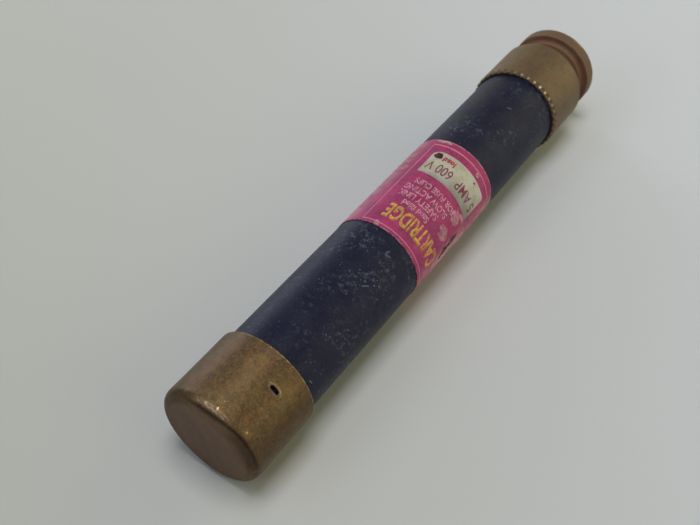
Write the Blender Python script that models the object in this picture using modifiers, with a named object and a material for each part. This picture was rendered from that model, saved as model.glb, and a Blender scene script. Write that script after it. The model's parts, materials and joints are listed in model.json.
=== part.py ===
"""Dual-element time-delay cartridge fuse with one rejection ferrule.

The fuse lies along X. The plain ferrule is at -X, the rejection ferrule at +X, and the origin is
halfway along the fuse's axis. Stations along the axis are X positions, in metres. A turned part is
modelled upright, with its axis on Z, and laid down by LAY_DOWN, which carries +Z onto +X.
"""
import math

import bmesh
import bpy
from mathutils import Matrix

MM = 0.001
LAY_DOWN = (0.0, math.radians(90), 0.0)

# Envelope: the standard 13/16 x 5 inch body.
OVERALL_LENGTH = 127.0 * MM
FERRULE_RADIUS = 10.3 * MM
PLAIN_END = -OVERALL_LENGTH / 2
REJECT_END = OVERALL_LENGTH / 2

# Clearances.
GAP = 0.3 * MM
SLEEVE_GAP = 0.1 * MM
LABEL_GAP = 0.05 * MM

# Plain ferrule: a drawn cap with a rounded shoulder.
FERRULE_WALL = 0.7 * MM
END_WALL = 0.8 * MM
PLAIN_FERRULE_LENGTH = 15.9 * MM
PLAIN_SHOULDER = 1.9 * MM
LIP_ROUND = 0.2 * MM
STAKE_FROM_END = 10.54 * MM
STAKE_ANGLE = math.radians(40.4)
STAKE_LENGTH = 2.0 * MM
STAKE_WIDTH = 0.8 * MM

# Rejection ferrule: serrated lip, contact band, groove and end rim.
REJECT_FERRULE_LENGTH = 21.35 * MM
RIM_LENGTH = 3.05 * MM
RIM_RADIUS = 9.8 * MM
RIM_ROUND = 0.5 * MM
GROOVE_LENGTH = 4.82 * MM
GROOVE_RADIUS = 7.9 * MM
GROOVE_FILLET = 0.4 * MM
SERRATION_COUNT = 39
SERRATION_TURN = math.radians(2.7)
SERRATION_DEPTH = 0.35 * MM
SERRATION_WIDTH = 0.6 * MM
SERRATION_LENGTH = 1.1 * MM

# Tube and label.
TUBE_RADIUS = FERRULE_RADIUS - FERRULE_WALL - SLEEVE_GAP
TUBE_BORE = 7.7 * MM
TUBE_CHAMFER = 0.3 * MM
LABEL_START = -14.0 * MM
LABEL_END = 14.65 * MM
LABEL_THICKNESS = 0.12 * MM
LABEL_SEAM = 0.4 * MM
LABEL_SEAM_ANGLE = math.radians(200)

# Discs behind the ferrules' end walls.
DISC_THICKNESS = 0.8 * MM
WASHER_RADIUS = 9.2 * MM
WASHER_HOLE = 2.6 * MM
PLAIN_TERMINAL_RADIUS = 8.8 * MM
REJECT_TERMINAL_RADIUS = 6.7 * MM
SOLDER_RADIUS = 2.0 * MM

# Trigger chamber.
INNER_RADIUS = TUBE_BORE - GAP
CHAMBER_HALF = 20.0 * MM
LINER_WALL = 0.8 * MM
PARTITION_THICKNESS = 1.6 * MM

# Short-circuit links.
LINK_WIDTH = 4.0 * MM
LINK_THICKNESS = 0.3 * MM
NOTCH_COUNT = 5
NOTCH_DEPTH = 1.4 * MM
NOTCH_HALF = 0.8 * MM

# Trigger: pin, spring, alloy ring, heat absorber and heater.
ANCHOR_PLATE_RADIUS = 6.2 * MM
PLUG_RADIUS = 1.9 * MM
ANCHOR_PLUG_END = -14.4 * MM
SPRING_START = -18.2 * MM
SPRING_END = -0.8 * MM
SPRING_RADIUS = 2.6 * MM
SPRING_WIRE = 0.3 * MM
SPRING_TURNS = 10
PIN_PLUG_START = -4.6 * MM
PIN_COLLAR_START = -0.4 * MM
PIN_COLLAR_END = 0.6 * MM
PIN_COLLAR_RADIUS = 3.2 * MM
PIN_RADIUS = 1.0 * MM
PIN_TIP = 15.7 * MM
ABSORBER_MOUTH = 8.7 * MM
ABSORBER_FLANGE = 1.4 * MM
ABSORBER_FLANGE_RADIUS = 5.0 * MM
ABSORBER_BASE_RADIUS = 6.2 * MM
ABSORBER_NECK_RADIUS = 2.9 * MM
ABSORBER_BORE = 1.35 * MM
ABSORBER_BORE_END = 16.7 * MM
ALLOY_POCKET_RADIUS = 2.3 * MM
ALLOY_POCKET_DEPTH = 3.2 * MM
HEATER_RADIUS = 3.7 * MM
HEATER_WIRE = 0.3 * MM
HEATER_TURNS = 6

# Facets round a turned part, and points per turn of a coil.
OUTER_STEPS = 64
INNER_STEPS = 32
COIL_STEPS = 10

# Stations worked out from the sizes above.
PLAIN_LIP = PLAIN_END + PLAIN_FERRULE_LENGTH
PLAIN_FLOOR = PLAIN_END + END_WALL
REJECT_LIP = REJECT_END - REJECT_FERRULE_LENGTH
REJECT_FLOOR = REJECT_END - END_WALL
RIM_START = REJECT_END - RIM_LENGTH
GROOVE_START = RIM_START - GROOVE_LENGTH
REJECT_SHOULDER = GROOVE_START - FERRULE_WALL

PLAIN_TERMINAL_START = PLAIN_FLOOR + GAP
PLAIN_WASHER_START = PLAIN_TERMINAL_START + DISC_THICKNESS + GAP
TUBE_START = PLAIN_WASHER_START + DISC_THICKNESS + GAP
REJECT_WASHER_START = REJECT_SHOULDER - GAP - DISC_THICKNESS
TUBE_END = REJECT_WASHER_START - GAP
REJECT_TERMINAL_START = REJECT_FLOOR - GAP - DISC_THICKNESS
REJECT_SOLDER_START = REJECT_TERMINAL_START - GAP - DISC_THICKNESS

PLAIN_PARTITION_START = -CHAMBER_HALF - GAP - PARTITION_THICKNESS
REJECT_PARTITION_START = CHAMBER_HALF + GAP
ANCHOR_START = -CHAMBER_HALF + GAP
ABSORBER_END = CHAMBER_HALF - GAP

# name: base colour, roughness, metallic
FINISHES = {
    "aged_brass": ((0.18, 0.12, 0.05), 0.42, 1.0),
    "bright_brass": ((0.50, 0.34, 0.13), 0.35, 1.0),
    "dark_fibre": ((0.018, 0.020, 0.030), 0.50, 0.0),
    "printed_paper": ((0.34, 0.035, 0.11), 0.60, 0.0),
    "vulcan_fibre": ((0.30, 0.20, 0.12), 0.75, 0.0),
    "copper": ((0.62, 0.26, 0.14), 0.35, 1.0),
    "silica_sand": ((0.62, 0.56, 0.45), 0.90, 0.0),
    "solder": ((0.45, 0.45, 0.46), 0.40, 1.0),
    "spring_steel": ((0.40, 0.40, 0.42), 0.30, 1.0),
    "resistance_wire": ((0.30, 0.28, 0.26), 0.35, 1.0),
}


def clear_scene():
    for item in list(bpy.data.objects):
        bpy.data.objects.remove(item, do_unlink=True)


def new_collection(name):
    collection = bpy.data.collections.new(name)
    bpy.context.scene.collection.children.link(collection)
    return collection


def make_materials():
    materials = {}
    for name, (colour, roughness, metallic) in FINISHES.items():
        material = bpy.data.materials.new(name)
        material.use_nodes = True
        shader = material.node_tree.nodes["Principled BSDF"]
        shader.inputs["Base Color"].default_value = (*colour, 1.0)
        shader.inputs["Roughness"].default_value = roughness
        shader.inputs["Metallic"].default_value = metallic
        materials[name] = material
    return materials


def add_part(name, data, finish):
    part = bpy.data.objects.new(name, data)
    part.data.materials.append(MATERIALS[finish])
    PARTS.objects.link(part)
    return part


def arc(radius_at, station_at, size, start, end, steps=2):
    """Points of a round corner in (radius, station), angles in degrees from +radius."""
    turns = [math.radians(start + (end - start) * i / steps) for i in range(steps + 1)]
    return [(radius_at + size * math.cos(t), station_at + size * math.sin(t)) for t in turns]


def turned(name, profile, finish, steps=INNER_STEPS, closed=False):
    """A part turned from (radius, station) points, whose outer side runs from +X to -X.

    An open profile starts and ends on the axis. A closed one is a ring's section.
    """
    mesh = bpy.data.meshes.new(name)
    points = [(radius, 0.0, station) for radius, station in profile]
    edges = [(i, i + 1) for i in range(len(points) - 1)]
    if closed:
        edges.append((len(points) - 1, 0))
    mesh.from_pydata(points, edges, [])
    part = add_part(name, mesh, finish)
    part.rotation_euler = LAY_DOWN
    screw = part.modifiers.new("turn", "SCREW")
    screw.axis = "Z"
    screw.steps = steps
    screw.render_steps = steps
    screw.use_merge_vertices = True
    screw.merge_threshold = 0.01 * MM
    screw.use_smooth_shade = True
    return part


def disc(name, radius, start, finish, thickness=DISC_THICKNESS):
    top = start + thickness
    return turned(name, [(0, top), (radius, top), (radius, start), (0, start)], finish)


def ring(name, inner, outer, start, end, finish, steps=INNER_STEPS):
    section = [(inner, end), (outer, end), (outer, start), (inner, start)]
    return turned(name, section, finish, steps, closed=True)


def block_cutter(name, size, location, tilt=0.0):
    """A box to cut with, turned by tilt about the fuse's axis."""
    mesh = bpy.data.meshes.new(name)
    shape = bmesh.new()
    bmesh.ops.create_cube(shape, size=1.0, matrix=Matrix.Diagonal((*size, 1.0)))
    shape.to_mesh(mesh)
    shape.free()
    cutter = bpy.data.objects.new(name, mesh)
    cutter.location = location
    cutter.rotation_euler = (tilt, 0.0, 0.0)
    return keep_cutter(cutter)


def keep_cutter(cutter):
    CUTTERS.objects.link(cutter)
    cutter.hide_render = True
    cutter.display_type = "WIRE"
    return cutter


def cut(part, cutter):
    boolean = part.modifiers.new("cut_" + cutter.name, "BOOLEAN")
    boolean.operation = "DIFFERENCE"
    boolean.object = cutter


def around(angle, radius, station):
    """A place on the fuse, at an angle from the top (+Z) towards the front (-Y)."""
    return (station, -radius * math.sin(angle), radius * math.cos(angle))


def build_plain_ferrule():
    inner = FERRULE_RADIUS - FERRULE_WALL
    inner_round = PLAIN_SHOULDER - FERRULE_WALL
    corner = PLAIN_END + PLAIN_SHOULDER
    profile = [(0, PLAIN_FLOOR)]
    profile += arc(inner - inner_round, PLAIN_FLOOR + inner_round, inner_round, -90, 0, 3)
    profile.append((inner, PLAIN_LIP))
    profile += arc(FERRULE_RADIUS - LIP_ROUND, PLAIN_LIP - LIP_ROUND, LIP_ROUND, 90, 0, 1)
    profile += arc(FERRULE_RADIUS - PLAIN_SHOULDER, corner, PLAIN_SHOULDER, 0, -90, 5)
    profile.append((0, PLAIN_END))
    part = turned("plain_ferrule", profile, "aged_brass", OUTER_STEPS)
    place = around(STAKE_ANGLE, FERRULE_RADIUS, PLAIN_END + STAKE_FROM_END)
    size = (STAKE_WIDTH, STAKE_LENGTH, 4 * FERRULE_WALL)
    cut(part, block_cutter("stake_punch", size, place, STAKE_ANGLE))


def build_reject_ferrule():
    inner = FERRULE_RADIUS - FERRULE_WALL
    throat = GROOVE_RADIUS - FERRULE_WALL
    rim_inner = RIM_RADIUS - FERRULE_WALL
    edge = RIM_ROUND / 2
    fillet_radius = GROOVE_RADIUS + GROOVE_FILLET
    profile = [(0, REJECT_END)]
    profile += arc(RIM_RADIUS - RIM_ROUND, REJECT_END - RIM_ROUND, RIM_ROUND, 90, 0)
    profile += arc(RIM_RADIUS - edge, RIM_START + edge, edge, 0, -90)
    profile += arc(fillet_radius, RIM_START - GROOVE_FILLET, GROOVE_FILLET, 90, 180)
    profile += arc(fillet_radius, GROOVE_START + GROOVE_FILLET, GROOVE_FILLET, 180, 270)
    profile += arc(FERRULE_RADIUS - RIM_ROUND, GROOVE_START - RIM_ROUND, RIM_ROUND, 90, 0)
    profile += arc(FERRULE_RADIUS - LIP_ROUND, REJECT_LIP + LIP_ROUND, LIP_ROUND, 0, -90, 1)
    profile += [(inner, REJECT_LIP), (inner, REJECT_SHOULDER), (throat, REJECT_SHOULDER)]
    profile += [(throat, RIM_START + FERRULE_WALL), (rim_inner, RIM_START + FERRULE_WALL)]
    profile += [(rim_inner, REJECT_FLOOR), (0, REJECT_FLOOR)]
    part = turned("reject_ferrule", profile, "aged_brass", OUTER_STEPS)
    cut(part, serration_cutter())


def serration_cutter():
    """A crown of boxes that leaves a row of teeth round the rejection ferrule's lip."""
    shape = bmesh.new()
    # Each box reaches past the lip and past the ferrule's surface, so its far sides cut nothing.
    size = (2 * SERRATION_LENGTH, SERRATION_WIDTH, 2 * SERRATION_DEPTH)
    for i in range(SERRATION_COUNT):
        gap_angle = SERRATION_TURN + 2 * math.pi * (i + 0.5) / SERRATION_COUNT
        turn = Matrix.Rotation(gap_angle, 4, "X")
        place = turn @ Matrix.Translation((REJECT_LIP, 0, FERRULE_RADIUS))
        bmesh.ops.create_cube(shape, size=1.0, matrix=place @ Matrix.Diagonal((*size, 1.0)))
    mesh = bpy.data.meshes.new("serration_crown")
    shape.to_mesh(mesh)
    shape.free()
    return keep_cutter(bpy.data.objects.new("serration_crown", mesh))


def build_tube_and_label():
    c = TUBE_CHAMFER
    section = [(TUBE_BORE, TUBE_END), (TUBE_RADIUS - c, TUBE_END), (TUBE_RADIUS, TUBE_END - c)]
    section += [(TUBE_RADIUS, TUBE_START + c), (TUBE_RADIUS - c, TUBE_START), (TUBE_BORE, TUBE_START)]
    turned("fuse_tube", section, "dark_fibre", OUTER_STEPS, closed=True)

    inner = TUBE_RADIUS + LABEL_GAP
    outer = inner + LABEL_THICKNESS
    label = ring("paper_label", inner, outer, LABEL_START, LABEL_END, "printed_paper", OUTER_STEPS)
    size = (2 * (LABEL_END - LABEL_START), LABEL_SEAM, 10 * LABEL_THICKNESS)
    middle = (LABEL_START + LABEL_END) / 2
    place = around(LABEL_SEAM_ANGLE, outer, middle)
    cut(label, block_cutter("label_seam", size, place, LABEL_SEAM_ANGLE))


def build_end_discs():
    disc("plain_end_terminal", PLAIN_TERMINAL_RADIUS, PLAIN_TERMINAL_START, "bright_brass")
    disc("reject_end_terminal", REJECT_TERMINAL_RADIUS, REJECT_TERMINAL_START, "bright_brass")
    disc("plain_end_solder", SOLDER_RADIUS, PLAIN_WASHER_START, "solder")
    disc("reject_end_solder", SOLDER_RADIUS, REJECT_SOLDER_START, "solder")
    washers = (("plain_end_washer", PLAIN_WASHER_START), ("reject_end_washer", REJECT_WASHER_START))
    for name, start in washers:
        ring(name, WASHER_HOLE, WASHER_RADIUS, start, start + DISC_THICKNESS, "vulcan_fibre")


def link_slot(name, start, end):
    """A box cutter for the slot or channel that a link passes through."""
    size = (end - start, LINK_WIDTH + 2 * GAP, LINK_THICKNESS + 2 * GAP)
    return block_cutter(name, size, ((start + end) / 2, 0, 0))


def build_partitions_and_filler():
    partitions = (
        ("plain_side_partition", PLAIN_PARTITION_START),
        ("reject_side_partition", REJECT_PARTITION_START),
    )
    for name, start in partitions:
        end = start + PARTITION_THICKNESS
        part = disc(name, INNER_RADIUS, start, "vulcan_fibre", PARTITION_THICKNESS)
        cut(part, link_slot(name + "_slot", start - GAP, end + GAP))

    fillers = (
        ("plain_side_filler", TUBE_START + GAP, PLAIN_PARTITION_START - GAP),
        ("reject_side_filler", REJECT_PARTITION_START + PARTITION_THICKNESS + GAP, TUBE_END - GAP),
    )
    for name, start, end in fillers:
        part = disc(name, INNER_RADIUS, start, "silica_sand", end - start)
        cut(part, link_slot(name + "_channel", start - GAP, end + GAP))

    liner_bore = INNER_RADIUS - LINER_WALL
    ring("chamber_liner", liner_bore, INNER_RADIUS, -CHAMBER_HALF, CHAMBER_HALF, "vulcan_fibre")


def link_outline(start, end):
    """One edge of a strip with V notches, then the other edge back."""
    half = LINK_WIDTH / 2
    edge = [(start, -half)]
    for i in range(NOTCH_COUNT):
        at = start + (end - start) * (i + 1) / (NOTCH_COUNT + 1)
        edge += [(at - NOTCH_HALF, -half), (at, NOTCH_DEPTH - half), (at + NOTCH_HALF, -half)]
    edge.append((end, -half))
    return edge + [(x, -y) for x, y in reversed(edge)]


def build_links():
    links = (
        ("plain_side_link", TUBE_START, -CHAMBER_HALF),
        ("reject_side_link", CHAMBER_HALF, REJECT_SOLDER_START - GAP),
    )
    for name, start, end in links:
        curve = bpy.data.curves.new(name, "CURVE")
        curve.dimensions = "2D"
        curve.fill_mode = "BOTH"
        curve.extrude = LINK_THICKNESS / 2
        spline = curve.splines.new("POLY")
        outline = link_outline(start, end)
        spline.points.add(len(outline) - 1)
        for point, (x, y) in zip(spline.points, outline):
            point.co = (x, y, 0, 1)
        spline.use_cyclic_u = True
        add_part(name, curve, "copper")


def coil(name, start, end, radius, wire, turns, finish):
    curve = bpy.data.curves.new(name, "CURVE")
    curve.dimensions = "3D"
    curve.bevel_depth = wire
    curve.bevel_resolution = 2
    curve.use_fill_caps = True
    spline = curve.splines.new("POLY")
    count = turns * COIL_STEPS + 1
    spline.points.add(count - 1)
    for i, point in enumerate(spline.points):
        angle = 2 * math.pi * i / COIL_STEPS
        x, y, z = around(angle, radius, start + (end - start) * i / (count - 1))
        point.co = (x, y, z, 1)
    return add_part(name, curve, finish)


def build_trigger():
    plate_end = ANCHOR_START + DISC_THICKNESS
    anchor = [(0, ANCHOR_PLUG_END), (PLUG_RADIUS, ANCHOR_PLUG_END), (PLUG_RADIUS, plate_end)]
    anchor += [(ANCHOR_PLATE_RADIUS, plate_end), (ANCHOR_PLATE_RADIUS, ANCHOR_START)]
    turned("spring_anchor", anchor + [(0, ANCHOR_START)], "bright_brass")
    coil("trigger_spring", SPRING_START, SPRING_END, SPRING_RADIUS, SPRING_WIRE, SPRING_TURNS,
         "spring_steel")

    pin = [(0, PIN_TIP)] + arc(0, PIN_TIP - PIN_RADIUS, PIN_RADIUS, 60, 0, 3)
    pin += [(PIN_RADIUS, PIN_COLLAR_END), (PIN_COLLAR_RADIUS, PIN_COLLAR_END)]
    pin += [(PIN_COLLAR_RADIUS, PIN_COLLAR_START), (PLUG_RADIUS, PIN_COLLAR_START)]
    pin += [(PLUG_RADIUS, PIN_PLUG_START), (0, PIN_PLUG_START)]
    turned("trigger_pin", pin, "copper")

    ring("fusing_alloy", PIN_RADIUS + GAP, ALLOY_POCKET_RADIUS - GAP, ABSORBER_MOUTH,
         ABSORBER_MOUTH + ALLOY_POCKET_DEPTH - GAP, "solder")


def build_heater():
    front = ABSORBER_MOUTH + ABSORBER_FLANGE
    back = ABSORBER_END - ABSORBER_FLANGE
    pocket_end = ABSORBER_MOUTH + ALLOY_POCKET_DEPTH
    absorber = [(0, ABSORBER_END), (ABSORBER_BASE_RADIUS, ABSORBER_END), (ABSORBER_BASE_RADIUS, back)]
    absorber += [(ABSORBER_NECK_RADIUS, back), (ABSORBER_NECK_RADIUS, front)]
    absorber += [(ABSORBER_FLANGE_RADIUS, front), (ABSORBER_FLANGE_RADIUS, ABSORBER_MOUTH)]
    absorber += [(ALLOY_POCKET_RADIUS, ABSORBER_MOUTH), (ALLOY_POCKET_RADIUS, pocket_end)]
    absorber += [(ABSORBER_BORE, pocket_end), (ABSORBER_BORE, ABSORBER_BORE_END)]
    turned("heat_absorber", absorber + [(0, ABSORBER_BORE_END)], "copper")
    inset = GAP + HEATER_WIRE
    coil("heater_coil", front + inset, back - inset, HEATER_RADIUS, HEATER_WIRE, HEATER_TURNS,
         "resistance_wire")


clear_scene()
PARTS = new_collection("cartridge_fuse")
CUTTERS = new_collection("cutters")
MATERIALS = make_materials()
build_plain_ferrule()
build_reject_ferrule()
build_tube_and_label()
build_end_discs()
build_partitions_and_filler()
build_links()
build_trigger()
build_heater()
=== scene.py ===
"""Looks of the cartridge fuse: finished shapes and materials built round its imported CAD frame.

The fuse lies along X, plain ferrule at -X. A place on it is given by its station (X) and its angle
about the axis, counted from the top (+Z) towards the front (-Y). Lengths are metres, or millimetres
times MM.
"""
import json
import math

import bmesh
import bpy
import numpy as np
from mathutils import Matrix, Vector, noise


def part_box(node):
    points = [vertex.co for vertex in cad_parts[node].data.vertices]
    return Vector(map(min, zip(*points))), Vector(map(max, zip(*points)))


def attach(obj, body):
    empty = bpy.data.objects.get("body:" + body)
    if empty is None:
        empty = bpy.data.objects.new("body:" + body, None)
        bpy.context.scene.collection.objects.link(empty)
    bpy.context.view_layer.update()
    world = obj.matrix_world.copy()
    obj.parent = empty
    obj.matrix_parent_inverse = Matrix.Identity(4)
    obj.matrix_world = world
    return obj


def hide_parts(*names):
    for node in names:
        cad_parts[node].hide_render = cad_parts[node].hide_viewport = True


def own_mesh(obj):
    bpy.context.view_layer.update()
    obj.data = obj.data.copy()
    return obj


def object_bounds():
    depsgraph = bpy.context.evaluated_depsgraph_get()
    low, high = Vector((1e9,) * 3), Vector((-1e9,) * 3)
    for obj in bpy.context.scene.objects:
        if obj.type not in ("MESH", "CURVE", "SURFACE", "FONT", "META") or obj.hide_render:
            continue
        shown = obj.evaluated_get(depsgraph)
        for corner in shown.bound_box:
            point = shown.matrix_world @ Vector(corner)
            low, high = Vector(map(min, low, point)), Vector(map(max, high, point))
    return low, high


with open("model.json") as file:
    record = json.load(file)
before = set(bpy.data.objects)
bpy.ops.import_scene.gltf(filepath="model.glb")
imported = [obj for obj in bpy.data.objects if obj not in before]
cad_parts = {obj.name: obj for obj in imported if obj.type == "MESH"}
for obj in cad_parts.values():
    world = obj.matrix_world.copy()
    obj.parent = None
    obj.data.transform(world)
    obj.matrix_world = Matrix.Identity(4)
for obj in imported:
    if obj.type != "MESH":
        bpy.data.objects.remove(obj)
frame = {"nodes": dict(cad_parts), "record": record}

MM = 0.001
CAD_LOW, CAD_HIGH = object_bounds()
BODY = "fuse_body"

# Sizes and stations taken from the frame.
PLAIN_LOW, PLAIN_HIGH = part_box("plain_ferrule")
REJECT_LOW, REJECT_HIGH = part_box("reject_ferrule")
TUBE_LOW, TUBE_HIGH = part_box("fuse_tube")
LABEL_LOW, LABEL_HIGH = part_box("paper_label")
PLAIN_END, PLAIN_LIP = PLAIN_LOW.x, PLAIN_HIGH.x
REJECT_LIP, REJECT_END = REJECT_LOW.x, REJECT_HIGH.x
FERRULE_RADIUS = PLAIN_HIGH.z
TUBE_RADIUS = TUBE_HIGH.z
LABEL_RADIUS = LABEL_HIGH.z
LABEL_START, LABEL_END = LABEL_LOW.x, LABEL_HIGH.x
FLOOR = CAD_LOW.z

# Ferrule details, measured from each ferrule's own end.
WALL = 0.7 * MM
SHOULDER = 1.9 * MM
FACE_RECESS = 0.12 * MM
STAKE_FROM_END = 10.54 * MM
STAKE_ANGLE = math.radians(40.4)
STAKE_HALF_LENGTH = 1.0 * MM
STAKE_HALF_WIDTH = 0.4 * MM
# A fold in the plain ferrule's shoulder: how far from the end it starts, how much further it wanders,
# the angles over which it wanders and fades, and the radius out to which the end stays flat.
FOLD_FROM_END = 0.46 * MM
FOLD_WANDER = 0.50 * MM
FOLD_WANDER_ANGLES = (math.radians(10), math.radians(55))
FOLD_START_ANGLES = (math.radians(-28), math.radians(0))
FOLD_END_ANGLES = (math.radians(76), math.radians(100))
FLAT_RADIUS = 6.5 * MM
RIM_LENGTH = 3.05 * MM
RIM_RADIUS = 9.8 * MM
GROOVE_LENGTH = 4.82 * MM
GROOVE_RADIUS = 7.9 * MM
TOOTH_COUNT = 39
TOOTH_TURN = math.radians(2.7)
TOOTH_DEPTH = 0.25 * MM
TOOTH_LENGTH = 1.1 * MM
TUBE_BORE = 7.7 * MM
SPRING_TURNS = 10
HEATER_TURNS = 6
COIL_WIRE = 0.3 * MM

# Camera: its place and the direction it looks in.
CAMERA_PLACE = (-113.70 * MM, -64.37 * MM, 129.64 * MM)
CAMERA_AZIMUTH = math.radians(-54.79)
CAMERA_ELEVATION = math.radians(47.72)
CAMERA_LENS = 46.44
CAMERA_FOCUS = 165 * MM
CAMERA_STOP = 40.0

# Mesh steps round the axis, and how far a surface may waver.
ROUND_STEPS = 360
STEPS_PER_TOOTH = 14
TUBE_STEPS = 256
WAVER = 0.03 * MM


# ---------------------------------------------------------------- shapes

def around(angle, radius, station):
    """Points on the fuse, from arrays of angles, radii and stations."""
    return np.stack([station, -radius * np.sin(angle), radius * np.cos(angle)], axis=-1)


def rough(points, size, seed=0.0):
    """Smooth noise from -1 to 1 at each point, with bumps about as long as size."""
    flat = np.asarray(points).reshape(-1, 3) / size + seed
    values = [noise.noise(Vector(p)) for p in flat]
    return np.array(values).reshape(np.asarray(points).shape[:-1])


def bell(distance, width):
    return np.exp(-((distance / width) ** 2))


def ramp(value, low, high):
    """0 below low, 1 above high, smooth between."""
    share = np.clip((value - low) / (high - low), 0, 1)
    return share * share * (3 - 2 * share)


def arc(radius_at, station_at, size, start, end, steps=6):
    """Points of a round corner in (radius, station), angles in degrees from +radius."""
    turns = [math.radians(start + (end - start) * i / steps) for i in range(steps + 1)]
    return [(radius_at + size * math.cos(t), station_at + size * math.sin(t)) for t in turns]


def dense(profile, step):
    """The same profile with points no further apart than step."""
    points = [profile[0]]
    for start, end in zip(profile, profile[1:]):
        parts = max(1, math.ceil(math.dist(start, end) / step))
        for i in range(1, parts + 1):
            share = i / parts
            points.append(tuple(a + (b - a) * share for a, b in zip(start, end)))
    return points


def new_object(name, data):
    item = bpy.data.objects.new(name, data)
    bpy.context.scene.collection.objects.link(item)
    return item


def new_piece(name, mesh, material, nodes=()):
    """A visible piece that rides on the fuse's body and stands for the CAD nodes named."""
    piece = new_object(name, mesh)
    mesh.materials.clear()
    mesh.materials.append(material)
    mesh.shade_smooth()
    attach(piece, BODY)
    if nodes:
        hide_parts(*nodes)
    return piece


def mesh_from(shape, name):
    """The finished mesh of a shape being edited, which is then freed."""
    mesh = bpy.data.meshes.new(name)
    shape.to_mesh(mesh)
    shape.free()
    return mesh


def evaluated_mesh(item):
    """A new mesh of the object as it stands with its modifiers or its text."""
    evaluated = item.evaluated_get(bpy.context.evaluated_depsgraph_get())
    return bpy.data.meshes.new_from_object(evaluated)


def close_normals(mesh):
    shape = bmesh.new()
    shape.from_mesh(mesh)
    bmesh.ops.recalc_face_normals(shape, faces=shape.faces)
    shape.to_mesh(mesh)
    shape.free()


def lathe(name, profile, shape=None, steps=ROUND_STEPS, ring=False):
    """A closed turned mesh. shape(angle, radius, station) returns the moved radius and station."""
    radius, station = np.array(profile).T
    if not ring:
        radius, station = radius[1:-1], station[1:-1]
    angle = np.arange(steps) * 2 * math.pi / steps
    angles, radii = np.meshgrid(angle, radius)
    stations = np.repeat(station[:, None], steps, axis=1)
    if shape:
        radii, stations = shape(angles, radii, stations)
    points = around(angles, radii, stations).reshape(-1, 3).tolist()
    rows = len(radius)
    faces = []
    for i in range(rows if ring else rows - 1):
        below = ((i + 1) % rows) * steps
        for j in range(steps):
            k = (j + 1) % steps
            faces.append((i * steps + j, i * steps + k, below + k, below + j))
    if not ring:
        for row, place in ((0, profile[0][1]), (rows - 1, profile[-1][1])):
            points.append((place, 0.0, 0.0))
            pole = len(points) - 1
            faces += [(pole, row * steps + j, row * steps + (j + 1) % steps) for j in range(steps)]
    mesh = bpy.data.meshes.new(name)
    mesh.from_pydata(points, [], faces)
    close_normals(mesh)
    return mesh


def apply_modifiers(piece):
    """Bakes a piece's modifiers into its own mesh."""
    mesh = evaluated_mesh(piece)
    piece.modifiers.clear()
    piece.data = mesh
    mesh.shade_smooth()


def thicken(piece, thickness, offset):
    solidify = piece.modifiers.new("thickness", "SOLIDIFY")
    solidify.thickness = thickness
    solidify.offset = offset
    apply_modifiers(piece)


# ---------------------------------------------------------------- node trees

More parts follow.
